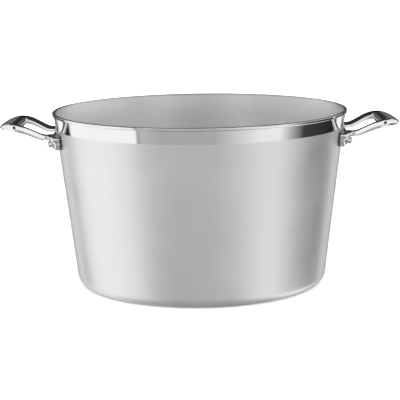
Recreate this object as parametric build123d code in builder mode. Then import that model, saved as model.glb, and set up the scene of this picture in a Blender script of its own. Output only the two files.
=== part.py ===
# Conical aluminium stock pot with two riveted loop handles.
# Millimetres, Z up.  The origin is the centre of the base's underside, and X runs
# through both handles.  The right handle is on +X, and "front" means the -Y side.
from math import asin, atan, cos, degrees, radians, sin
import os

from build123d import *

os.makedirs("parts", exist_ok=True)

# ---- Pot ----
rim_diameter = 360.0  # over the lip, the widest part of the pot
pot_height = 212.0
base_diameter = 306.0  # where the wall's line meets the base, before the corner is rounded
wall_thickness = 3.0
base_thickness = 4.0
base_corner_radius = 13.0  # outside; the inside corner follows it at the wall's thickness
lip_overhang = 1.6  # how far the lip stands out from the wall
lip_height = 3.6
lip_rounding = 1.1

# ---- Handle seat on the wall ----
rivet_height = 179.0  # height of the rivet axes where they cross the outside of the wall
rivet_spacing = 88.0  # between the two rivets of one handle, centre to centre
lug_width = 27.0
lug_thickness = 7.8
lug_drop = 8.6  # from the rivet axis down to the lug's lower end
lug_side_rounding = 9.0
lug_nose_rounding = 5.0

# ---- Handle loop in side view, as reach from the seat and rise above the rivet axis ----
handle_reach = 71.2
tip_rise = 15.6
crest_reach = 48.0
crest_rise = 23.1
middle_reach = 30.0
middle_rise = 18.1
root_reach = 13.5  # end of the level part beside the wall
root_rise = 10.4
seat_rise = 8.1  # top of the loop at the wall
skirt_height = 9.4  # depth of the down-turned edge along the arms
root_skirt_height = 7.6  # the same, where the arms leave the foot
foot_thickness = 3.8  # of the loop where it meets the wall
tip_edge_height = 1.6
sheet_thickness = 2.2

# ---- Handle loop seen from above, as reach and half width ----
foot_overhang = 2.5  # foot past the lug's side
foot_reach = 1.0
waist_reach = 11.5
waist_inset = 2.5  # waist inside the rivet's axis
widest_reach = 38.0
loop_half_width = 48.0
tip_bow = 9.0  # how far the tip's edge bows out between its corners
tip_corner_radius = 28.0
waist_rounding = 9.0
shoulder_rounding = 12.0
opening_start = 5.4
opening_end = 43.0
arm_root_width = 11.5
arm_width = 9.0  # where the arms reach the grip
opening_corner_radius = 8.0
foot_length = 9.0  # solid part of the loop beside the wall

# ---- Rivets ----
rivet_diameter = 6.0
rivet_hole_clearance = 0.05  # on the radius
rivet_head_diameter = 8.2
rivet_head_height = 6.8
rivet_head_rounding = 3.0
inner_head_diameter = 11.0
inner_head_height = 1.6
inner_head_rounding = 1.2

# ---- Worked-out values ----
lip_radius = rim_diameter / 2
base_radius = base_diameter / 2
wall_top_radius = lip_radius - lip_overhang
wall_lean = atan((wall_top_radius - base_radius) / pot_height)
seat_radius = base_radius + rivet_height * (wall_top_radius - base_radius) / pot_height
lug_angle = degrees(asin(rivet_spacing / 2 / seat_radius))
foot_half_width = rivet_spacing / 2 + lug_width / 2 + foot_overhang
waist_half_width = rivet_spacing / 2 - waist_inset
opening_start_half_width = waist_half_width - arm_root_width
opening_end_half_width = loop_half_width - arm_width
inner_seat_radius = seat_radius - wall_thickness / cos(wall_lean)
inner_head_half_chord = inner_head_diameter / 2 / inner_seat_radius
inner_head_sag = inner_seat_radius * (1 - cos(asin(inner_head_half_chord)))
trim_depth = 12.0  # how far a handle runs inside the wall before it is cut back to it

handle_turns = {"right": 0.0, "left": 180.0}


def wall_radius(height):
    # Radius of the outside of the wall at a height.
    return base_radius + height * (wall_top_radius - base_radius) / pot_height


def rivet_angle(side, end):
    # Direction of a rivet around the pot: the front is the -Y side of both handles.
    toward_front = -lug_angle if side == "right" else lug_angle
    return handle_turns[side] + (toward_front if end == "front" else -toward_front)


def seat_plane(angle):
    # Origin on the outside of the wall at a rivet's axis, Z out of the wall, Y up the wall.
    around = radians(angle)
    origin = (seat_radius * cos(around), seat_radius * sin(around), rivet_height)
    outward = (cos(wall_lean) * cos(around), cos(wall_lean) * sin(around), -sin(wall_lean))
    return Plane(origin=origin, x_dir=(-sin(around), cos(around), 0), z_dir=outward)


def section_plane(angle):
    # The same origin, X out of the wall and Y up the wall, for a profile across the lug.
    seat = seat_plane(angle)
    return Plane(origin=seat.origin, x_dir=seat.z_dir, z_dir=-seat.x_dir)


rivet_places = {
    f"rivet_{side}_{end}": rivet_angle(side, end)
    for side in handle_turns
    for end in ("front", "back")
}


# ---- Pot body: one spun and turned shell with a flat base and a small outward lip ----
inner_run = wall_thickness / cos(wall_lean)  # wall thickness measured level
inner_base_radius = wall_radius(base_thickness) - inner_run
inner_top_radius = wall_top_radius - inner_run
lip_underside = pot_height - lip_height

with BuildPart() as pot_body:
    with BuildSketch(Plane.XZ) as shell_section:
        with BuildLine():
            Polyline(
                (0, 0),
                (base_radius, 0),
                (wall_radius(lip_underside), lip_underside),
                (lip_radius, lip_underside),
                (lip_radius, pot_height),
                (inner_top_radius, pot_height),
                (inner_base_radius, base_thickness),
                (0, base_thickness),
                close=True,
            )
        make_face()
        for corner, radius in (
            ((base_radius, 0), base_corner_radius),
            ((inner_base_radius, base_thickness), base_corner_radius - wall_thickness),
            ((lip_radius, lip_underside), lip_rounding),
            ((lip_radius, pot_height), lip_rounding),
        ):
            fillet(shell_section.vertices().sort_by_distance((*corner, 0))[0], radius)
    revolve(axis=Axis.Z)
    for angle in rivet_places.values():
        with Locations(seat_plane(angle)):
            Cylinder(
                rivet_diameter / 2 + rivet_hole_clearance,
                4 * wall_thickness,
                mode=Mode.SUBTRACT,
            )

pot_body.part.label = "pot_body"
export_step(pot_body.part, "parts/pot_body.step")


# ---- Wall blank: the solid cone that the backs of the handles are cut to ----
with BuildPart() as wall_blank:
    Cone(
        base_radius,
        wall_top_radius,
        pot_height,
        align=(Align.CENTER, Align.CENTER, Align.MIN),
    )


# ---- Handle: a pressed loop, its underside open, on two lugs that follow the wall ----
def side_band(drop, skirt):
    # Side view of the loop: its top line lowered by drop, and its lower edge skirt below.
    start = seat_radius - trim_depth
    root = seat_radius + root_reach
    middle = seat_radius + middle_reach
    crest = seat_radius + crest_reach
    tip = seat_radius + handle_reach
    base = rivet_height - drop
    with BuildSketch(Plane.XZ) as band:
        with BuildLine():
            top = Spline(
                (start, base + seat_rise),
                (root, base + root_rise),
                (middle, base + middle_rise),
                (crest, base + crest_rise),
                (tip, base + tip_rise),
                tangents=[(1, 0.05), (1, -0.75)],
            )
            low = Spline(
                (tip, base + tip_rise - tip_edge_height),
                (crest, base + crest_rise - skirt),
                (middle, base + middle_rise - skirt),
                (root, base + root_rise - root_skirt_height),
            )
            Line(top @ 1, low @ 0)
            Polyline(
                low @ 1,
                (seat_radius, base + seat_rise - foot_thickness),
                (start, base + seat_rise - foot_thickness),
                top @ 0,
            )
        make_face()
    return band.sketch


def outer_outline():
    # The loop from above: a foot as wide as both lugs, a waist, then the wide rounded grip.
    start = seat_radius - trim_depth
    tip = seat_radius + handle_reach
    tip_corner = tip - tip_bow
    with BuildSketch() as outline:
        with BuildLine():
            Polyline(
                (start, 0),
                (start, foot_half_width),
                (seat_radius + foot_reach, foot_half_width),
                (seat_radius + waist_reach, waist_half_width),
                (seat_radius + widest_reach, loop_half_width),
                (tip_corner, loop_half_width),
            )
            mirror(about=Plane.XZ)
            ThreePointArc((tip_corner, loop_half_width), (tip, 0), (tip_corner, -loop_half_width))
        make_face()
        for place, radius in (
            (tip_corner, tip_corner_radius),
            (seat_radius + waist_reach, waist_rounding),
            (seat_radius + widest_reach, shoulder_rounding),
        ):
            corners = outline.vertices().filter_by_position(Axis.X, place - 0.1, place + 0.1)
            fillet(corners, radius)
    return outline.sketch


def opening_outline():
    start = seat_radius + opening_start
    end = seat_radius + opening_end
    with BuildSketch() as opening:
        with BuildLine():
            Polyline(
                (start, -opening_start_half_width),
                (end, -opening_end_half_width),
                (end, opening_end_half_width),
                (start, opening_start_half_width),
                close=True,
            )
        make_face()
        fillet(opening.vertices(), opening_corner_radius)
    return opening.sketch


# The space under the sheet: inside the skirts of the arms and of the grip.
with BuildPart() as underside:
    with BuildSketch():
        offset(outer_outline(), amount=-sheet_thickness)
        offset(opening_outline(), amount=sheet_thickness, mode=Mode.SUBTRACT)
        with Locations((seat_radius + foot_length, 0)):
            Rectangle(
                handle_reach,
                2 * foot_half_width,
                align=(Align.MIN, Align.CENTER),
                mode=Mode.INTERSECT,
            )
    extrude(amount=pot_height + crest_rise)
    extrude(
        side_band(sheet_thickness, 2 * skirt_height),
        amount=foot_half_width,
        both=True,
        mode=Mode.INTERSECT,
    )

# One lug: its profile across the wall, run along the wall and rounded at its lower end.
with BuildPart() as lug:
    with BuildSketch(section_plane(lug_angle)) as profile:
        with BuildLine():
            Polyline(
                (-wall_thickness, -lug_drop),
                (lug_thickness, -lug_drop),
                (lug_thickness, seat_rise - sheet_thickness),
                (-wall_thickness, seat_rise - sheet_thickness),
                close=True,
            )
        make_face()
        nose = profile.vertices().sort_by_distance((lug_thickness, -lug_drop, 0))[0]
        fillet(nose, lug_nose_rounding)
    extrude(amount=lug_width / 2, both=True)
    with BuildSketch(seat_plane(lug_angle)) as face:
        with Locations((0, -lug_drop)):
            Rectangle(lug_width, 3 * lug_drop, align=(Align.CENTER, Align.MIN))
        fillet(face.vertices().group_by(Axis.Y)[0], lug_side_rounding)
    extrude(amount=2 * lug_thickness, both=True, mode=Mode.INTERSECT)
    extrude(outer_outline(), amount=pot_height, mode=Mode.INTERSECT)

with BuildPart() as handle:
    extrude(side_band(0, skirt_height), amount=foot_half_width, both=True)
    extrude(outer_outline(), amount=pot_height + crest_rise, mode=Mode.INTERSECT)
    add(underside.part, mode=Mode.SUBTRACT)
    add(lug.part)
    mirror(lug.part, about=Plane.XZ)
    extrude(opening_outline(), amount=pot_height + crest_rise, mode=Mode.SUBTRACT)
    add(wall_blank.part, mode=Mode.SUBTRACT)
    for angle in (lug_angle, -lug_angle):
        with Locations(seat_plane(angle)):
            Cylinder(
                rivet_diameter / 2 + rivet_hole_clearance,
                4 * lug_thickness,
                mode=Mode.SUBTRACT,
            )

for side, turn in handle_turns.items():
    with BuildPart() as placed_handle:
        add(handle.part.rotate(Axis.Z, turn))
    placed_handle.part.label = f"handle_{side}"
    export_step(placed_handle.part, f"parts/handle_{side}.step")


# ---- Rivets: a tall round head outside, the shank, and a low head inside the pot ----
for name, angle in rivet_places.items():
    seat = seat_plane(angle)
    shank = rivet_diameter / 2
    head_end = lug_thickness + rivet_head_height
    inner_seat = -wall_thickness - inner_head_sag
    inner_end = inner_seat - inner_head_height
    with BuildPart() as rivet:
        with BuildSketch(section_plane(angle)) as half_section:
            with BuildLine():
                Polyline(
                    (head_end, 0),
                    (head_end, rivet_head_diameter / 2),
                    (lug_thickness, rivet_head_diameter / 2),
                    (lug_thickness, shank),
                    (inner_seat, shank),
                    (inner_seat, inner_head_diameter / 2),
                    (inner_end, inner_head_diameter / 2),
                    (inner_end, 0),
                    close=True,
                )
            make_face()
            for corner, radius in (
                ((head_end, rivet_head_diameter / 2), rivet_head_rounding),
                ((inner_end, inner_head_diameter / 2), inner_head_rounding),
            ):
                fillet(half_section.vertices().sort_by_distance((*corner, 0))[0], radius)
        revolve(axis=Axis(seat.origin, seat.z_dir))
    rivet.part.label = name
    export_step(rivet.part, f"parts/{name}.step")
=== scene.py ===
# Stock pot: a spun aluminium body with a polished band under its rim, two bright
# pressed loop handles and four rivets.  Metres, Z up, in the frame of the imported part.
import math

import bpy
import numpy as np
from mathutils import Matrix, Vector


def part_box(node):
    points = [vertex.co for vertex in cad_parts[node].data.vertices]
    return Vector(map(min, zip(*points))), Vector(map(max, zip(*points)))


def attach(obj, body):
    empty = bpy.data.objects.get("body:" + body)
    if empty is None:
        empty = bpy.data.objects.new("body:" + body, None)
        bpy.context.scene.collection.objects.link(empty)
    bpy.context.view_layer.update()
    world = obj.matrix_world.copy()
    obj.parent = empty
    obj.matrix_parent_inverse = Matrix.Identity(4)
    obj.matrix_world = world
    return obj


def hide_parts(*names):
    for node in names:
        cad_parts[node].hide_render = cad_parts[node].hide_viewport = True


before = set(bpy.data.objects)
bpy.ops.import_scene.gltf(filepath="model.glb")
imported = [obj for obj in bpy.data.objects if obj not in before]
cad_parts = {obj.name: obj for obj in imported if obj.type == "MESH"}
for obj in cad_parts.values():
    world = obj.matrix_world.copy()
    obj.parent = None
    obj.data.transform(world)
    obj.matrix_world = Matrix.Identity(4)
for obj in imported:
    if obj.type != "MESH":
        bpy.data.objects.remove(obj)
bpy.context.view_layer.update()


# the view, across the rim from a little above it
cameraSet = {
    "place": (0.0, -1.590, 0.401),
    "lens": 117.2,
    "lookDown": 10.78,  # degrees
    "turn": 0.033,
    "roll": -0.80,
}


def addCamera(settings):
    data = bpy.data.cameras.new("camera")
    data.lens = settings["lens"]
    camera = bpy.data.objects.new("camera", data)
    turn = Matrix.Rotation(math.radians(settings["turn"]), 4, "Z")
    tilt = Matrix.Rotation(math.radians(90 - settings["lookDown"]), 4, "X")
    roll = Matrix.Rotation(math.radians(settings["roll"]), 4, "Z")
    camera.matrix_world = Matrix.Translation(settings["place"]) @ turn @ tilt @ roll
    bpy.context.scene.collection.objects.link(camera)
    bpy.context.scene.camera = camera


addCamera(cameraSet)
bpy.context.scene.view_settings.view_transform = "Standard"
print("camera placed")


# helpers that build node trees
class Tree:
    # Thin wrapper that adds nodes and links them in one call.
    def __init__(self, tree):
        self.tree = tree

    def add(self, kind, inputs=None, **settings):
        node = self.tree.nodes.new(kind)
        for key, value in settings.items():
            setattr(node, key, value)
        for key, value in (inputs or {}).items():
            self.feed(node.inputs[key], value)
        return node

    def feed(self, socket, value):
        if isinstance(value, bpy.types.NodeSocket):
            self.tree.links.new(value, socket)
        else:
            socket.default_value = value

    def math(self, operation, first, second=0.0, third=None):
        node = self.tree.nodes.new("ShaderNodeMath")
        node.operation = operation
        self.feed(node.inputs[0], first)
        self.feed(node.inputs[1], second)
        if third is not None:
            self.feed(node.inputs[2], third)
        return node.outputs[0]


def geometryTree(name, sizes):
    # Group with a geometry input and output and one named input for each size.
    group = bpy.data.node_groups.new(name, "GeometryNodeTree")
    group.interface.new_socket("Geometry", in_out="INPUT", socket_type="NodeSocketGeometry")
    for label, kind in sizes.items():
        group.interface.new_socket(label, in_out="INPUT", socket_type=f"NodeSocket{kind}")
    group.interface.new_socket("Geometry", in_out="OUTPUT", socket_type="NodeSocketGeometry")
    tree = Tree(group)
    return group, tree, tree.add("NodeGroupInput"), tree.add("NodeGroupOutput")


def runTree(obj, group, values):
    # Runs the tree on the object, keeps the plain mesh it gives and drops the modifier.
    modifier = obj.modifiers.new(group.name, "NODES")
    modifier.node_group = group
    for item in group.interface.items_tree:
        if item.in_out == "INPUT" and item.name in values:
            modifier[item.identifier] = values[item.name]
    bpy.context.view_layer.update()
    shown = obj.evaluated_get(bpy.context.evaluated_depsgraph_get())
    mesh = bpy.data.meshes.new_from_object(shown)
    obj.modifiers.clear()
    old = obj.data
    obj.data = mesh
    bpy.data.meshes.remove(old)
    mesh.name = obj.name
    return obj


def sectionObject(name, points, finishes=None):
    # Open chain of points in the XZ plane, the section that a lathe tree turns.
    mesh = bpy.data.meshes.new(name)
    edges = [(i, i + 1) for i in range(len(points) - 1)]
    mesh.from_pydata([(x, 0.0, z) for x, z in points], edges, [])
    if finishes:
        zone = mesh.attributes.new("finish", "FLOAT", "POINT")
        zone.data.foreach_set("value", finishes)
    obj = bpy.data.objects.new(name, mesh)
    bpy.context.scene.collection.objects.link(obj)
    return obj


def arc(centre, radius, start, end, steps):
    # Points of an arc in the section, angles in degrees from +X.
    angles = np.radians(np.linspace(start, end, steps + 1))
    return [(centre[0] + radius * math.cos(a), centre[1] + radius * math.sin(a)) for a in angles]


# the metals' finishes
def surface(name):
    material = bpy.data.materials.new(name)
    material.use_nodes = True
    material.node_tree.nodes.clear()
    tree = Tree(material.node_tree)
    shader = tree.add("ShaderNodeBsdfPrincipled")
    out = tree.add("ShaderNodeOutputMaterial")
    tree.feed(out.inputs["Surface"], shader.outputs["BSDF"])
    place = tree.add("ShaderNodeTexCoord").outputs["Object"]
    return material, tree, shader, place


def noiseAt(tree, place, scale, detail=2.0, roughness=0.5):
    # Noise on object coordinates, with its own scale along each axis in cells a metre.
    mapped = tree.add("ShaderNodeMapping", {"Vector": place, "Scale": scale})
    grain = tree.add("ShaderNodeTexNoise", {"Vector": mapped.outputs[0], "Scale": 1.0})
    grain.inputs["Detail"].default_value = detail
    grain.inputs["Roughness"].default_value = roughness
    return grain.outputs["Fac"]


def grey(tone):
    return (tone, tone, tone, 1.0)


def blend(tree, factor, first, second):
    # Colour between two, by a factor.
    node = tree.add("ShaderNodeMix", {"Factor": factor}, data_type="RGBA")
    tree.feed(node.inputs[6], first)
    tree.feed(node.inputs[7], second)
    return node.outputs[2]


def spread(tree, value, low, high):
    # Noise sits near one half; this carries its middle range to low and high.
    node = tree.add("ShaderNodeMapRange", {"Value": value, "From Min": 0.3, "From Max": 0.7})
    node.inputs["To Min"].default_value = low
    node.inputs["To Max"].default_value = high
    return node.outputs["Result"]


def turnedMetal(name, look):
    # Metal turned on a lathe: fine lines around the axis, in soft patches.
    material, tree, shader, place = surface(name)
    lineScale = (look["around"], look["around"], look["lines"])
    lines = noiseAt(tree, place, lineScale, detail=3.0, roughness=0.6)
    cloud = noiseAt(tree, place, (look["cloud"],) * 3)
    mixed = tree.math("MULTIPLY_ADD", cloud, 0.5, tree.math("MULTIPLY", lines, 0.5))
    shader.inputs["Metallic"].default_value = 1.0
    shader.inputs["Anisotropic"].default_value = look["stretch"]
    shader.inputs["Anisotropic Rotation"].default_value = 0.25  # in turns
    tangent = tree.add("ShaderNodeTangent", direction_type="RADIAL", axis="Z")
    tree.feed(shader.inputs["Tangent"], tangent.outputs[0])
    tree.feed(shader.inputs["Roughness"], spread(tree, mixed, *look["roughness"]))
    colour = blend(tree, spread(tree, mixed, 0.0, 1.0), look["dark"], look["light"])
    tree.feed(shader.inputs["Base Color"], colour)
    bump = tree.add("ShaderNodeBump", {"Height": lines, "Distance": look["depth"]})
    bump.inputs["Strength"].default_value = look["bump"]
    tree.feed(shader.inputs["Normal"], bump.outputs[0])
    return material


def paintedCreaseShade(tree, place, haze, metal, look, wallLine):
    # Painted shade: the base colour turns near black in the corner against the pot's wall, standing in for
    # the contact shadow there.
    # The wall's line is its radius at the base and the rise of its radius with height.
    x, y, z = tree.add("ShaderNodeSeparateXYZ", {"Vector": place}).outputs
    square = tree.math("ADD", tree.math("POWER", x, 2.0), tree.math("POWER", y, 2.0))
    wall = tree.math("MULTIPLY_ADD", z, wallLine[1], wallLine[0])
    gap = tree.math("SUBTRACT", tree.math("SQRT", square), wall)
    ragged = tree.math("MULTIPLY_ADD", haze, -look["crease"] / 3, gap)
    clean = tree.add("ShaderNodeMapRange", {"Value": ragged}, interpolation_type="SMOOTHSTEP")
    clean.inputs["From Min"].default_value = look["crease"] * look["creaseCore"]
    clean.inputs["From Max"].default_value = look["crease"]
    return blend(tree, clean.outputs["Result"], look["paintedShadeTone"], metal)


def brightSteel(name, look, wallLine=None):
    # Polished sheet: buffing haze, hairline scratches and a faint unevenness of the pressing.
    # Where it meets the pot's wall, given as a line, painted shade darkens the corner as a contact shadow.
    material, tree, shader, place = surface(name)
    haze = noiseAt(tree, place, (look["haze"],) * 3, detail=3.0)
    hairs = noiseAt(tree, place, (look["hairAlong"], look["hairAcross"], look["hairAcross"]))
    swell = noiseAt(tree, place, (look["swell"],) * 3, detail=1.0)
    shader.inputs["Metallic"].default_value = 1.0
    tree.feed(shader.inputs["Roughness"], spread(tree, haze, *look["roughness"]))
    colour = blend(tree, spread(tree, haze, 0.0, 1.0), look["dark"], look["light"])
    if wallLine:
        # painted contact shadow: near black where the handle meets the pot's wall
        colour = paintedCreaseShade(tree, place, haze, colour, look, wallLine)
    tree.feed(shader.inputs["Base Color"], colour)
    scratch = tree.add("ShaderNodeBump", {"Height": hairs, "Distance": look["hairDepth"]})
    scratch.inputs["Strength"].default_value = look["hairBump"]
    wave = tree.add("ShaderNodeBump", {"Height": swell, "Distance": look["swellDepth"]})
    tree.feed(wave.inputs["Normal"], scratch.outputs[0])
    tree.feed(shader.inputs["Normal"], wave.outputs[0])
    return material


satinLook = {
    "lines": 1500.0, "around": 5.0, "cloud": 22.0,
    "roughness": (0.38, 0.46), "stretch": 0.45,
    "dark": (0.86, 0.86, 0.865, 1.0), "light": (0.92, 0.92, 0.925, 1.0),
    "depth": 0.00003, "bump": 0.35,
}
bandLook = {
    "lines": 900.0, "around": 4.0, "cloud": 30.0,
    "roughness": (0.05, 0.10), "stretch": 0.55,
    "dark": (0.86, 0.86, 0.865, 1.0), "light": (0.92, 0.92, 0.925, 1.0),
    "depth": 0.00001, "bump": 0.15,
}
insideLook = {
    "lines": 700.0, "around": 5.0, "cloud": 18.0,
    "roughness": (0.40, 0.50), "stretch": 0.50,
    "dark": (0.84, 0.84, 0.845, 1.0), "light": (0.90, 0.90, 0.905, 1.0),
    "depth": 0.00004, "bump": 0.35,
}
baseLook = {
    "lines": 20.0, "around": 900.0, "cloud": 15.0,
    "roughness": (0.38, 0.50), "stretch": 0.0,
    "dark": (0.80, 0.80, 0.805, 1.0), "light": (0.88, 0.88, 0.885, 1.0),
    "depth": 0.00004, "bump": 0.3,
}
handleLook = {
    "haze": 160.0, "hairAlong": 90.0, "hairAcross": 2600.0, "swell": 55.0,
    "roughness": (0.035, 0.075),
    "dark": (0.84, 0.84, 0.845, 1.0), "light": (0.90, 0.90, 0.90, 1.0),
    "hairDepth": 0.000004, "hairBump": 0.25, "swellDepth": 0.00012,
    "crease": 0.0026, "creaseCore": 0.3, "paintedShadeTone": (0.10, 0.10, 0.10, 1.0),  # painted contact shadow against the wall
}
rivetLook = {
    "haze": 400.0, "hairAlong": 600.0, "hairAcross": 1800.0, "swell": 260.0,
    "roughness": (0.12, 0.22),
    "dark": (0.78, 0.78, 0.785, 1.0), "light": (0.88, 0.88, 0.885, 1.0),
    "hairDepth": 0.000006, "hairBump": 0.3, "swellDepth": 0.0001,
}

satin = turnedMetal("satin_aluminium", satinLook)
polishedBand = turnedMetal("polished_band", bandLook)
insideSatin = turnedMetal("inside_satin", insideLook)
turnedBase = turnedMetal("turned_base", baseLook)
rivetMetal = brightSteel("rivet_aluminium", rivetLook)
print("finishes made")


# the lathe, shared by the pot and the rivets
def makeLathe():
    # Turns a section chain round Z: a grid takes one column of vertices from the chain for
    # each step, and merging closes the seam and the poles.
    group, tree, given, out = geometryTree("lathe", {"Steps": "Int"})
    chain = given.outputs["Geometry"]
    steps = given.outputs["Steps"]
    count = tree.add("GeometryNodeAttributeDomainSize", {"Geometry": chain}).outputs["Point Count"]
    columns = tree.math("ADD", steps, 1.0)
    grid = tree.add("GeometryNodeMeshGrid", {"Vertices X": columns, "Vertices Y": count})
    index = tree.add("GeometryNodeInputIndex").outputs[0]
    onChain = tree.math("FLOORED_MODULO", index, count)
    step = tree.math("FLOOR", tree.math("DIVIDE", index, count))
    angle = tree.math("MULTIPLY", tree.math("DIVIDE", step, steps), math.tau)

    def sampled(dataType, value):
        node = tree.add("GeometryNodeSampleIndex", data_type=dataType)
        tree.feed(node.inputs["Geometry"], chain)
        tree.feed(node.inputs["Value"], value)
        tree.feed(node.inputs["Index"], onChain)
        return node.outputs["Value"]

    position = sampled("FLOAT_VECTOR", tree.add("GeometryNodeInputPosition").outputs[0])
    finish = tree.add("GeometryNodeInputNamedAttribute", {"Name": "finish"}, data_type="FLOAT")
    finish = sampled("FLOAT", finish.outputs["Attribute"])
    split = tree.add("ShaderNodeSeparateXYZ", {"Vector": position})
    radius, height = split.outputs["X"], split.outputs["Z"]
    placed = tree.add("ShaderNodeCombineXYZ")
    tree.feed(placed.inputs["X"], tree.math("MULTIPLY", radius, tree.math("COSINE", angle)))
    tree.feed(placed.inputs["Y"], tree.math("MULTIPLY", radius, tree.math("SINE", angle)))
    tree.feed(placed.inputs["Z"], height)
    turned = tree.add("GeometryNodeSetPosition", {"Geometry": grid.outputs["Mesh"]})
    tree.feed(turned.inputs["Position"], placed.outputs[0])
    stored = tree.add("GeometryNodeStoreNamedAttribute", {"Name": "finish"}, data_type="FLOAT")
    tree.feed(stored.inputs["Geometry"], turned.outputs[0])
    tree.feed(stored.inputs["Value"], finish)
    merged = tree.add("GeometryNodeMergeByDistance", {"Geometry": stored.outputs[0]})
    merged.inputs["Distance"].default_value = 1e-6
    smooth = tree.add("GeometryNodeSetShadeSmooth", {"Geometry": merged.outputs[0]})
    tree.feed(out.inputs["Geometry"], smooth.outputs[0])
    return group


lathe = makeLathe()


# the spun bowl
potSizes = {
    "baseRadius": 0.153,  # where the wall's line meets the base
    "wall": 0.003,
    "floor": 0.004,
    "baseCorner": 0.013,
    "lipOverhang": 0.0016,
    "lipHeight": 0.0036,
    "lipRounding": 0.0011,
    "lipEdge": 0.0006,  # the sharper upper edge
    "flare": (0.0005, 0.0032),  # inside of the rim opens out by this over this height
    "bandHeight": 0.0188,  # polished band, down from the rim
    "lipFoot": 0.0003,  # the wall's last ring stands this far under the lip
    "hold": 0.0002,  # rings this near an edge keep the flat beside it flat
    "steps": 288,  # round the bowl
    "rings": {"floor": 12, "corner": 10, "wall": 10, "band": 3, "lip": 6},  # along the section
}
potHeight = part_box("pot_body")[1].z
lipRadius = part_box("pot_body")[1].x
wallTopRadius = lipRadius - potSizes["lipOverhang"]
wallSlope = (wallTopRadius - potSizes["baseRadius"]) / potHeight
wallLean = math.atan(wallSlope)


def wallRadius(height):
    return potSizes["baseRadius"] + height * wallSlope


def potSection(sizes):
    # From the centre of the underside out, up the wall, over the lip and down the inside,
    # each point with the finish of the surface that leads to it.
    under, outside, band, within = 0.0, 1.0, 2.0, 3.0
    rings, hold = sizes["rings"], sizes["hold"]
    lean = math.degrees(wallLean)
    level = sizes["wall"] / math.cos(wallLean)  # wall thickness measured level
    corner = sizes["baseCorner"]
    rounding, crisp = sizes["lipRounding"], sizes["lipEdge"]
    cornerX = sizes["baseRadius"] - corner * math.tan(math.radians(90 - lean) / 2)
    points, finishes = [], []

    def run(finish, chain):
        points.extend(chain)
        finishes.extend([finish] * len(chain))

    def straight(start, end, steps):
        line = np.array(end) - start
        return [tuple(np.array(start) + line * t) for t in np.linspace(0, 1, steps + 1)]

    # underside, rounded corner and satin wall
    run(under, straight((0.0, 0.0), (cornerX, 0.0), rings["floor"]))
    run(outside, arc((cornerX, corner), corner, -90, -lean, rings["corner"])[1:])
    bandLow = potHeight - sizes["bandHeight"]
    run(outside, straight(points[-1], (wallRadius(bandLow), bandLow), rings["wall"])[1:])

    # polished band and lip
    lipLow = potHeight - sizes["lipHeight"]
    bandTop = lipLow - sizes["lipFoot"]
    run(band, straight(points[-1], (wallRadius(bandTop), bandTop), rings["band"])[1:])
    run(band, [(wallRadius(lipLow), lipLow), (wallRadius(lipLow) + hold, lipLow)])
    run(band, arc((lipRadius - rounding, lipLow + rounding), rounding, -90, 0, rings["lip"]))
    run(band, [(lipRadius, lipLow + rounding + hold), (lipRadius, potHeight - crisp - hold)])
    run(band, arc((lipRadius - crisp, potHeight - crisp), crisp, 0, 90, rings["lip"]))
    run(band, [(lipRadius - crisp - hold, potHeight)])

    # over the rim, down its flared inner edge
    innerTop = wallTopRadius - level
    flare, drop = sizes["flare"]
    mouth = innerTop + flare
    run(band, [(mouth + crisp + hold, potHeight), (mouth + crisp, potHeight)])
    run(within, [(mouth + 0.3 * crisp, potHeight - 0.15 * crisp), (mouth, potHeight - 0.6 * crisp)])

    # inside wall, rounded corner and floor
    inner = corner - sizes["wall"]
    innerX = wallRadius(sizes["floor"]) - level - inner * math.tan(math.radians(90 - lean) / 2)
    knee = arc((innerX, sizes["floor"] + inner), inner, -lean, -90, rings["corner"])
    wallLine = np.array((wallSlope, 1.0)) / math.hypot(wallSlope, 1.0)
    top = np.array((innerTop, potHeight)) - wallLine * drop
    run(within, straight(top, knee[0], rings["wall"]))
    run(within, knee[1:])
    run(within, straight(knee[-1], (0.0, sizes["floor"]), rings["floor"])[1:])
    return points, finishes


def makePotTree():
    # Lathe, then one finish for each zone: a face takes the finish its far ring names.
    sizes = {"Steps": "Int"} | {label: "Material" for label in ("Base", "Outside", "Band", "Inside")}
    group, tree, given, out = geometryTree("spun_pot", sizes)
    turned = tree.add("GeometryNodeGroup", node_tree=lathe)
    tree.feed(turned.inputs["Geometry"], given.outputs["Geometry"])
    tree.feed(turned.inputs["Steps"], given.outputs["Steps"])
    zone = tree.add("GeometryNodeInputNamedAttribute", {"Name": "finish"}, data_type="FLOAT")
    shape = tree.add("GeometryNodeSetMaterial", {"Geometry": turned.outputs["Geometry"]})
    tree.feed(shape.inputs["Material"], given.outputs["Base"])
    near = 0.4  # a face between two zones is half way up to the next one, so past this
    for number, label in enumerate(("Outside", "Band", "Inside")):
        above = tree.add("FunctionNodeCompare", data_type="FLOAT", operation="GREATER_THAN")
        tree.feed(above.inputs["A"], zone.outputs["Attribute"])
        tree.feed(above.inputs["B"], number + near)
        nextShape = tree.add("GeometryNodeSetMaterial", {"Geometry": shape.outputs[0]})
        tree.feed(nextShape.inputs["Selection"], above.outputs["Result"])
        tree.feed(nextShape.inputs["Material"], given.outputs[label])
        shape = nextShape
    real = tree.add("GeometryNodeRealizeInstances", {"Geometry": shape.outputs[0]})
    tree.feed(out.inputs["Geometry"], real.outputs[0])
    return group


pot = sectionObject("pot_shell", *potSection(potSizes))
runTree(pot, makePotTree(), {
    "Steps": potSizes["steps"], "Base": turnedBase, "Outside": satin,
    "Band": polishedBand, "Inside": insideSatin,
})
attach(pot, "root")
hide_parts("pot_body")
print("pot turned:", len(pot.data.polygons), "faces")


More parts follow.
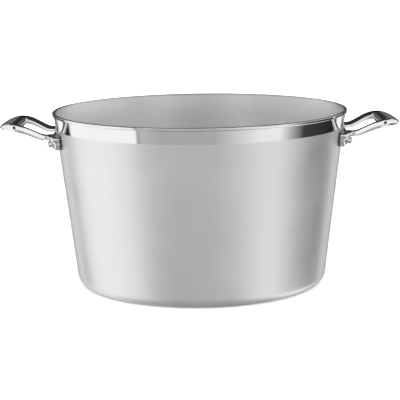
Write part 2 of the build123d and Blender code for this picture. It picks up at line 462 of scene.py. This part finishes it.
# the four rivets
rivetSizes = {
    "height": 0.179,  # of the axes, where they cross the outside of the wall
    "spacing": 0.088,  # between the two of one handle
    "shank": 0.006,
    "head": 0.0082,
    "headHeight": 0.0068,
    "headRounding": 0.0030,
    "headFall": 0.0005,  # how far the head's end is domed
    "headFoot": (0.97, 0.0003),  # share of its radius on the lug, and height of the chamfer there
    "headHold": 0.002,  # ring up its side that keeps the side straight
    "innerHead": 0.011,
    "innerHeight": 0.0016,
    "innerRounding": 0.0012,
    "lug": 0.0078,  # thickness of the handle under the head
    "steps": 40,
}
seatRadius = wallRadius(rivetSizes["height"])
lugAngle = math.asin(rivetSizes["spacing"] / 2 / seatRadius)
lugThickness = rivetSizes["lug"]


def rivetSection(sizes):
    # Along the rivet's axis, outwards: low inner head, shank, tall domed head.
    sag = seatRadius * (1 - math.cos(math.asin(sizes["innerHead"] / 2 / seatRadius)))
    innerSeat = -potSizes["wall"] - sag
    innerEnd = innerSeat - sizes["innerHeight"]
    inner, low = sizes["innerHead"] / 2, sizes["innerRounding"]
    outer, dome = sizes["head"] / 2, sizes["headRounding"]
    end = lugThickness + sizes["headHeight"]
    shank = sizes["shank"] / 2
    foot, chamfer = sizes["headFoot"]
    points = [(0.0, innerEnd), ((inner - low) / 2, innerEnd)]
    points += arc((inner - low, innerEnd + low), low, -90, 0, 5)
    points += [(inner, innerSeat), (shank, innerSeat), (shank, lugThickness)]
    points += [(outer * foot, lugThickness), (outer, lugThickness + chamfer)]
    points += [(outer, lugThickness + sizes["headHold"])]
    points += arc((outer - dome, end - sizes["headFall"] - dome), dome, 0, 80, 8)
    points += [(0.0, end)]
    return points


def makeRivetTree():
    # The turned rivet on four seats round the wall, its axis square to the leaning wall.
    sizes = {"Steps": "Int", "Seat Radius": "Float", "Seat Height": "Float", "Lug Angle": "Float"}
    sizes |= {"Wall Lean": "Float", "Metal": "Material"}
    group, tree, given, out = geometryTree("rivet_ring", sizes)
    turned = tree.add("GeometryNodeGroup", node_tree=lathe)
    tree.feed(turned.inputs["Geometry"], given.outputs["Geometry"])
    tree.feed(turned.inputs["Steps"], given.outputs["Steps"])
    index = tree.add("GeometryNodeInputIndex").outputs[0]
    side = tree.math("MULTIPLY", tree.math("FLOOR", tree.math("DIVIDE", index, 2.0)), math.pi)
    end = tree.math("MULTIPLY_ADD", tree.math("FLOORED_MODULO", index, 2.0), 2.0, -1.0)
    angle = tree.math("MULTIPLY_ADD", end, given.outputs["Lug Angle"], side)
    seat = tree.add("ShaderNodeCombineXYZ", {"Z": given.outputs["Seat Height"]})
    reach = given.outputs["Seat Radius"]
    tree.feed(seat.inputs["X"], tree.math("MULTIPLY", reach, tree.math("COSINE", angle)))
    tree.feed(seat.inputs["Y"], tree.math("MULTIPLY", reach, tree.math("SINE", angle)))
    seats = tree.add("GeometryNodePoints", {"Count": 4, "Position": seat.outputs[0]})
    turn = tree.add("ShaderNodeCombineXYZ", {"Z": angle})
    tree.feed(turn.inputs["Y"], tree.math("ADD", given.outputs["Wall Lean"], math.pi / 2))
    placed = tree.add("GeometryNodeInstanceOnPoints", {"Points": seats.outputs[0]})
    tree.feed(placed.inputs["Instance"], turned.outputs["Geometry"])
    tree.feed(placed.inputs["Rotation"], turn.outputs[0])
    real = tree.add("GeometryNodeRealizeInstances", {"Geometry": placed.outputs[0]})
    metal = tree.add("GeometryNodeSetMaterial", {"Geometry": real.outputs[0]})
    tree.feed(metal.inputs["Material"], given.outputs["Metal"])
    tree.feed(out.inputs["Geometry"], metal.outputs[0])
    return group


rivets = sectionObject("rivets", rivetSection(rivetSizes))
runTree(rivets, makeRivetTree(), {
    "Steps": rivetSizes["steps"], "Seat Radius": seatRadius, "Seat Height": rivetSizes["height"],
    "Lug Angle": lugAngle, "Wall Lean": wallLean, "Metal": rivetMetal,
})
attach(rivets, "root")
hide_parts("rivet_right_front", "rivet_right_back", "rivet_left_front", "rivet_left_back")
print("rivets set:", len(rivets.data.polygons), "faces")


# the two pressed handles
handleSizes = {
    # side view, as (reach from the seat, rise above the rivets)
    "top": ((-0.012, 0.0081), (0.0135, 0.0104), (0.030, 0.0181), (0.048, 0.0231), (0.0712, 0.0156)),
    "topSlopes": (0.05, -0.75),
    "low": ((0.0, 0.0043), (0.0135, 0.0028), (0.030, 0.0087), (0.048, 0.0137), (0.0712, 0.0140)),
    "lowSlopes": (-0.10, -0.05),
    # seen from above, as (reach, half width)
    "foot": ((-0.020, 0.060), (0.001, 0.060), (0.0115, 0.0415), (0.038, 0.048)),
    "grip": (0.038, 0.048),  # where the rounded end of the grip starts
    "opening": ((0.0054, 0.030), (0.043, 0.039)),
    "ease": 0.0028,  # softening of the outline's corners
    "openingEase": 0.0032,
    "sheet": 0.0022,
    "edge": 0.0022,  # rounding between the top and the outer skirt
    "innerEdge": 0.0038,  # the same toward the opening
    "arm": 0.0095,
    "dish": 0.25,  # how steeply the arms' tops fall to the opening
    "dishEase": 0.003,
    "dishStart": (0.005, 0.012),  # reach where the fall starts, and the length it grows over
    "camber": (16.0, 0.0070),  # bow of the skirts, and how far down it is fullest
    "endCamber": (14.0, 0.0070),  # the same round the grip's end
    "endStart": (0.046, 0.012),  # reach where that takes over, and the length it takes
    "rim": 0.0009,  # rounding of the skirts' lower edges
    "solidFoot": 0.009,
    # lugs
    "lugWidth": 0.027,
    "lugDrop": 0.0086,
    "lugSideRounding": 0.009,
    "lugEdge": 0.0040,
    "neck": 0.0045,  # fillet between a lug and the loop
    "hole": 0.00305,
    "cell": 0.0007,  # of the grid that the mesh is taken from
    "settling": 6,  # rounds that even the mesh out
}
handleSteel = brightSteel("bright_stainless", handleLook, (potSizes["baseRadius"], wallSlope))


def clampedLine(points, slopes):
    # Cubic through the points with given end slopes; gives height and slope at a reach.
    x, y = np.array(points).T
    gap = np.diff(x)
    last = len(x) - 1
    system, right = np.eye(last + 1), np.zeros(last + 1)
    right[0], right[last] = slopes
    for i in range(1, last):
        before, after = 1 / gap[i - 1], 1 / gap[i]
        system[i, i - 1:i + 2] = before, 2 * (before + after), after
        right[i] = 3 * ((y[i] - y[i - 1]) * before**2 + (y[i + 1] - y[i]) * after**2)
    slope = np.linalg.solve(system, right)

    def line(at):
        inside = np.clip(at, x[0], x[last])
        i = np.clip(np.searchsorted(x, inside) - 1, 0, last - 1)
        t = (inside - x[i]) / gap[i]
        rise = y[i + 1] - y[i]
        a = slope[i] * gap[i] - rise
        b = rise - slope[i + 1] * gap[i]
        height = y[i] + t * rise + t * (1 - t) * (a * (1 - t) + b * t)
        steep = (rise + (1 - 2 * t) * (a * (1 - t) + b * t) + t * (1 - t) * (b - a)) / gap[i]
        return height + steep * (at - inside), steep

    return line


def easedLoop(half, ease):
    # Closed outline from its upper half, spaced evenly and softened along its length.
    half = np.array(half)
    loop = np.vstack([half, half[::-1] * (1, -1)])
    loop = np.vstack([loop, loop[:1]])
    run = np.concatenate([[0], np.cumsum(np.hypot(*np.diff(loop, axis=0).T))])
    spacing = 0.0004
    count = int(run[-1] / spacing)
    at = np.linspace(0, run[-1], count, endpoint=False)
    even = np.stack([np.interp(at, run, loop[:, 0]), np.interp(at, run, loop[:, 1])], 1)
    waves = np.fft.fftfreq(count, run[-1] / count)
    keep = np.exp(-2 * (math.pi * waves * ease) ** 2)[:, None]
    return np.real(np.fft.ifft(np.fft.fft(even, axis=0) * keep, axis=0))


def gripOutline(sizes):
    # Foot, waist and shoulder by their corners, then half an ellipse round the grip's end.
    start, half = sizes["grip"]
    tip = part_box("handle_right")[1].x - seatRadius
    angles = np.linspace(0.1, math.pi / 2, 24)  # from just past the grip's start to its tip
    ends = [(start + (tip - start) * math.sin(a), half * math.cos(a)) for a in angles]
    return easedLoop([*sizes["foot"], *ends], sizes["ease"])


class Outline:
    # Signed distance to a closed outline, negative inside, kept on a fine grid.
    step = 0.00025
    reach = (-0.022, 0.076)
    halfWidth = 0.066

    def __init__(self, loop):
        xs = np.arange(*self.reach, self.step)
        ys = np.arange(0.0, self.halfWidth, self.step)
        x, y = np.meshgrid(xs, ys, indexing="ij")
        near = np.full(x.shape, 1.0)
        inside = np.zeros(x.shape, bool)
        for (ax, ay), (bx, by) in zip(loop, np.roll(loop, -1, axis=0)):
            dx, dy = bx - ax, by - ay
            t = np.clip(((x - ax) * dx + (y - ay) * dy) / (dx * dx + dy * dy), 0, 1)
            near = np.minimum(near, (x - ax - t * dx) ** 2 + (y - ay - t * dy) ** 2)
            if dy != 0:
                inside ^= ((ay > y) != (by > y)) & (x < ax + (y - ay) / dy * dx)
        self.distance = np.where(inside, -1, 1) * np.sqrt(near)

    def at(self, x, y):
        fx = np.clip((x - self.reach[0]) / self.step, 0, self.distance.shape[0] - 1.001)
        fy = np.clip(np.abs(y) / self.step, 0, self.distance.shape[1] - 1.001)
        i, j = fx.astype(int), fy.astype(int)
        u, v = fx - i, fy - j
        d = self.distance
        near = d[i, j] * (1 - v) + d[i, j + 1] * v
        far = d[i + 1, j] * (1 - v) + d[i + 1, j + 1] * v
        return near * (1 - u) + far * u


def meet(a, b, rounding):
    # Where two bodies overlap, with a rounded edge.
    edge = np.hypot(np.maximum(a + rounding, 0), np.maximum(b + rounding, 0))
    return np.minimum(np.maximum(a, b), -rounding) + edge


def join(a, b, fillet):
    # Two bodies as one, with a fillet between them.
    return -meet(-a, -b, fillet)


def easeIn(value, start, length):
    # Smooth step from 0 to 1.
    t = np.clip((value - start) / length, 0, 1)
    return t * t * (3 - 2 * t)


def handleField(sizes):
    # Distance-like field of the right handle, negative inside the metal.
    top = clampedLine(sizes["top"], sizes["topSlopes"])
    low = clampedLine(sizes["low"], sizes["lowSlopes"])
    outer = Outline(gripOutline(sizes))
    gap = Outline(easedLoop(sizes["opening"], sizes["openingEase"]))
    cosLean, sinLean = math.cos(wallLean), math.sin(wallLean)
    cosLug, sinLug = math.cos(lugAngle), math.sin(lugAngle)
    out = (cosLean * cosLug, cosLean * sinLug, -sinLean)  # square to the wall at a rivet
    up = (sinLean * cosLug, sinLean * sinLug, cosLean)  # up the wall there

    def lug(x, y, z):
        # Pad on the wall round one rivet; the other one is its mirror image.
        y = np.abs(y)
        x = x - seatRadius * cosLug
        y = y - seatRadius * sinLug
        z = z - rivetSizes["height"]
        depth = x * out[0] + y * out[1] + z * out[2] - lugThickness
        rise = x * up[0] + y * up[1] + z * up[2]
        across = -x * sinLug + y * cosLug
        side = np.abs(across) - sizes["lugWidth"] / 2
        face = meet(side, -rise - sizes["lugDrop"], sizes["lugSideRounding"])
        hole = sizes["hole"] - np.hypot(rise, across)
        return meet(face, depth, sizes["lugEdge"]), hole

    def field(x, y, z):
        reach, rise = x - seatRadius, z - rivetSizes["height"]
        height, steep = top(reach)
        fromGap = gap.at(reach, y)
        fall = np.maximum(sizes["arm"] - np.maximum(fromGap, 0), 0)
        dip = sizes["dish"] * fall**2 / (fall + sizes["dishEase"]) * easeIn(reach, *sizes["dishStart"])
        crown = (rise - height + dip) / np.hypot(1, steep)
        nearEnd = easeIn(reach, *sizes["endStart"])
        bow, full = (a + (b - a) * nearEnd for a, b in zip(sizes["camber"], sizes["endCamber"]))
        inset = bow * (np.clip(height - rise, 0, 2 * full) - full) ** 2
        side = meet(crown, outer.at(reach, y) + inset, sizes["edge"])
        skin = meet(side, inset - fromGap, sizes["innerEdge"])
        hollow = np.maximum(skin + sizes["sheet"], sizes["solidFoot"] - reach)
        height, steep = low(reach)
        under = (height - rise) / np.hypot(1, steep)
        loop = meet(np.maximum(skin, -hollow), under, sizes["rim"])
        pad, hole = lug(x, y, z)
        pad = meet(pad, crown + sizes["edge"] / 2, sizes["edge"])
        metal = np.maximum(join(loop, pad, sizes["neck"]), hole)
        wall = (np.hypot(x, y) - wallRadius(z)) * cosLean
        return np.maximum(metal, -wall)

    return field


def surfaceNet(values, low, cell):
    # Quads on the zero surface of a grid of values, one vertex in each cell it crosses.
    shape = np.array(values.shape)
    inside = values < 0
    total = np.zeros((*(shape - 1), 3))
    count = np.zeros(shape - 1)
    crossings = []
    for axis in range(3):
        a = np.take(values, range(shape[axis] - 1), axis)
        b = np.take(values, range(1, shape[axis]), axis)
        i, j, k = np.nonzero((a < 0) != (b < 0))
        spot = np.stack([i, j, k], 1).astype(float)
        spot[:, axis] += a[i, j, k] / (a[i, j, k] - b[i, j, k])
        others = [o for o in range(3) if o != axis]
        start = np.stack([i, j, k], 1)
        crossings.append((axis, others, start, a[i, j, k] < 0))
        for da in (0, 1):
            for db in (0, 1):
                cellAt = start.copy()
                cellAt[:, others[0]] -= da
                cellAt[:, others[1]] -= db
                good = np.all((cellAt >= 0) & (cellAt < shape - 1), axis=1)
                place = tuple(cellAt[good].T)
                np.add.at(total, place, spot[good])
                np.add.at(count, place, 1)
    used = count > 0
    number = np.full(count.shape, -1)
    number[used] = np.arange(used.sum())
    verts = total[used] / count[used][:, None] * cell + low
    faces = []
    for axis, others, start, filled in crossings:
        ring = []
        for da, db in ((0, 0), (1, 0), (1, 1), (0, 1)):
            cellAt = start.copy()
            cellAt[:, others[0]] -= da
            cellAt[:, others[1]] -= db
            ring.append(number[tuple(cellAt.T)])
        quad = np.stack(ring, 1)
        flip = filled if axis != 1 else ~filled
        quad[~flip] = quad[~flip][:, ::-1]
        faces.append(quad)
    return verts, np.vstack(faces)


def settle(verts, faces, field, rounds):
    # Evens the vertices out along the surface and brings each back onto it.
    ends = np.vstack([faces[:, [0, 1]], faces[:, [1, 2]], faces[:, [2, 3]], faces[:, [3, 0]]])
    degree = np.bincount(ends.ravel(), minlength=len(verts))[:, None]
    tiny = 0.00005  # step that the slope is measured over
    pull = 0.6  # share of the way to the neighbours' middle
    leastSlope = 0.25  # squared, so that a flat spot doesn't throw a vertex far
    for _ in range(rounds):
        around = np.zeros_like(verts)
        np.add.at(around, ends[:, 0], verts[ends[:, 1]])
        np.add.at(around, ends[:, 1], verts[ends[:, 0]])
        verts = verts * (1 - pull) + around / degree * pull
        x, y, z = verts.T
        value = field(x, y, z)
        slope = np.stack([
            field(x + tiny, y, z) - field(x - tiny, y, z),
            field(x, y + tiny, z) - field(x, y - tiny, z),
            field(x, y, z + tiny) - field(x, y, z - tiny),
        ], 1) / (2 * tiny)
        verts = verts - slope * (value / np.maximum((slope**2).sum(1), leastSlope))[:, None]
    return verts


def pressHandle(sizes):
    low, high = (np.array(corner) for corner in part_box("handle_right"))
    margin = 3 * sizes["cell"]  # of air all round
    axes = [np.arange(a - margin, b + margin, sizes["cell"]) for a, b in zip(low, high)]
    field = handleField(sizes)
    grid = np.meshgrid(*axes, indexing="ij")
    verts, faces = surfaceNet(field(*grid), low - margin, sizes["cell"])
    verts = settle(verts, faces, field, sizes["settling"])
    mesh = bpy.data.meshes.new("handle")
    mesh.from_pydata(verts.tolist(), [], faces.tolist())
    mesh.validate()
    mesh.shade_smooth()
    mesh.materials.append(handleSteel)
    return mesh


pressed = pressHandle(handleSizes)
for side, turn in (("right", 0.0), ("left", math.pi)):
    mesh = pressed.copy()
    mesh.transform(Matrix.Rotation(turn, 4, "Z"))
    handle = bpy.data.objects.new(f"{side}_loop_handle", mesh)
    bpy.context.scene.collection.objects.link(handle)
    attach(handle, "root")
    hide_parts(f"handle_{side}")
bpy.data.meshes.remove(pressed)
print("handles pressed:", len(mesh.polygons), "faces each")


# the studio: pale floor, soft light and the panels that the metal mirrors
studioSet = {
    "floorRadius": 16.0,
    "floorRoughness": 0.9,
    "floorTones": (0.80, 0.82),
    "floorClouds": 3.0,  # in each metre
    "dome": 2.6,  # soft light on the floor
    # tone by direction round the pot, in degrees, 0 toward the camera and + to the right
    "rings": {
        "floor": (
            (-180, 0.12), (-155, 0.9), (-60, 0.9), (-40, 0.32),
            (36, 0.32), (56, 0.9), (72, 1.1), (140, 1.1), (160, 0.12),
        ),
        "low": (
            (-180, 0.12), (-154, 0.12), (-149, 1.0), (-138, 1.0), (-135, 0.02), (-126, 0.02), (-123, 1.0),
            (-52, 1.0), (-50, 0.25), (-48, 0.52), (-30, 0.43), (12, 0.43), (26, 0.62), (40, 0.78),
            (50, 0.90), (66, 0.90), (80, 0.34), (90, 0.05), (132, 0.015), (140, 1.0), (149, 1.0),
            (154, 0.12),
        ),
        "mid": (
            (-180, 0.02), (-175, 0.03), (-172, 0.13), (-167, 0.18), (-146, 0.18), (-140, 1.0), (-63, 1.0),
            (-60, 0.05), (-46, 0.05), (-43, 1.0), (43, 1.0), (46, 0.05), (60, 0.05), (63, 1.0), (140, 1.0),
            (146, 0.18), (167, 0.18), (172, 0.13), (175, 0.03),
        ),
        "high": (
            (-180, 0.02), (-146, 0.02), (-140, 0.7), (-85, 0.7), (-45, 1.25), (-15, 0.80),
            (15, 0.80), (45, 1.25), (85, 0.8), (140, 0.8), (146, 0.02),
        ),
    },
    # where each ring gives way to the next, in degrees of height
    "belowToFloor": (-58, -44),
    "floorToLow": (-32, -25),
    "lowToMid": (-6, -3),
    "midToHigh": (10, 13),
    "highToCeiling": (30, 42),
    "ceilingTone": 0.035,
    "belowTone": 0.30,
}


def addFloor(settings):
    bpy.ops.mesh.primitive_circle_add(vertices=96, radius=settings["floorRadius"], fill_type="NGON")
    floor = bpy.context.object
    floor.name = "studio_floor"
    material, tree, shader, place = surface("pale_floor")
    shader.inputs["Roughness"].default_value = settings["floorRoughness"]
    tint = spread(tree, noiseAt(tree, place, (settings["floorClouds"],) * 3), 0.0, 1.0)
    dark, light = settings["floorTones"]
    tree.feed(shader.inputs["Base Color"], blend(tree, tint, grey(dark), grey(light)))
    floor.data.materials.append(material)
    floor.visible_glossy = False  # bright metal mirrors the studio's panels instead


def addStudio(settings):
    # Soft dome for the floor; what metal mirrors is a ring of white panels and dark gaps.
    world = bpy.data.worlds.new("studio")
    world.use_nodes = True
    world.node_tree.nodes.clear()
    world.cycles.sampling_method = "NONE"
    bpy.context.scene.world = world
    tree = Tree(world.node_tree)
    direction = tree.add("ShaderNodeTexCoord").outputs["Generated"]
    x, y, z = tree.add("ShaderNodeSeparateXYZ", {"Vector": direction}).outputs
    bearing = tree.math("ARCTAN2", x, tree.math("MULTIPLY", y, -1.0))
    along = tree.math("MULTIPLY_ADD", bearing, 0.5 / math.pi, 0.5)  # 0 to 1 round the pot
    lift = tree.math("ARCSINE", z)

    def ring(stops):
        node = tree.add("ShaderNodeValToRGB", {"Fac": along})
        elements = node.color_ramp.elements
        while len(elements) > 1:
            elements.remove(elements[0])
        for number, (angle, tone) in enumerate(stops):
            at = 0.5 + angle / 360
            element = elements[0] if number == 0 else elements.new(at)
            element.position = at
            element.color = grey(tone)
        return node.outputs["Color"]

    def above(start, end):
        node = tree.add("ShaderNodeMapRange", {"Value": lift}, interpolation_type="SMOOTHSTEP")
        node.inputs["From Min"].default_value = math.radians(start)
        node.inputs["From Max"].default_value = math.radians(end)
        return node.outputs["Result"]

    tone = grey(settings["belowTone"])
    changes = ("belowToFloor", "floorToLow", "lowToMid", "midToHigh")
    for change, stops in zip(changes, settings["rings"].values()):
        tone = blend(tree, above(*settings[change]), tone, ring(stops))
    tone = blend(tree, above(*settings["highToCeiling"]), tone, grey(settings["ceilingTone"]))
    mirrored = tree.add("ShaderNodeBackground", {"Color": tone})
    dome = tree.add("ShaderNodeBackground", {"Color": grey(1.0), "Strength": settings["dome"]})
    rays = tree.add("ShaderNodeLightPath")
    mixed = tree.add("ShaderNodeMixShader", {0: rays.outputs["Is Glossy Ray"]})
    tree.feed(mixed.inputs[1], dome.outputs[0])
    tree.feed(mixed.inputs[2], mirrored.outputs[0])
    out = tree.add("ShaderNodeOutputWorld")
    tree.feed(out.inputs["Surface"], mixed.outputs[0])


addFloor(studioSet)
addStudio(studioSet)
print("studio lit")
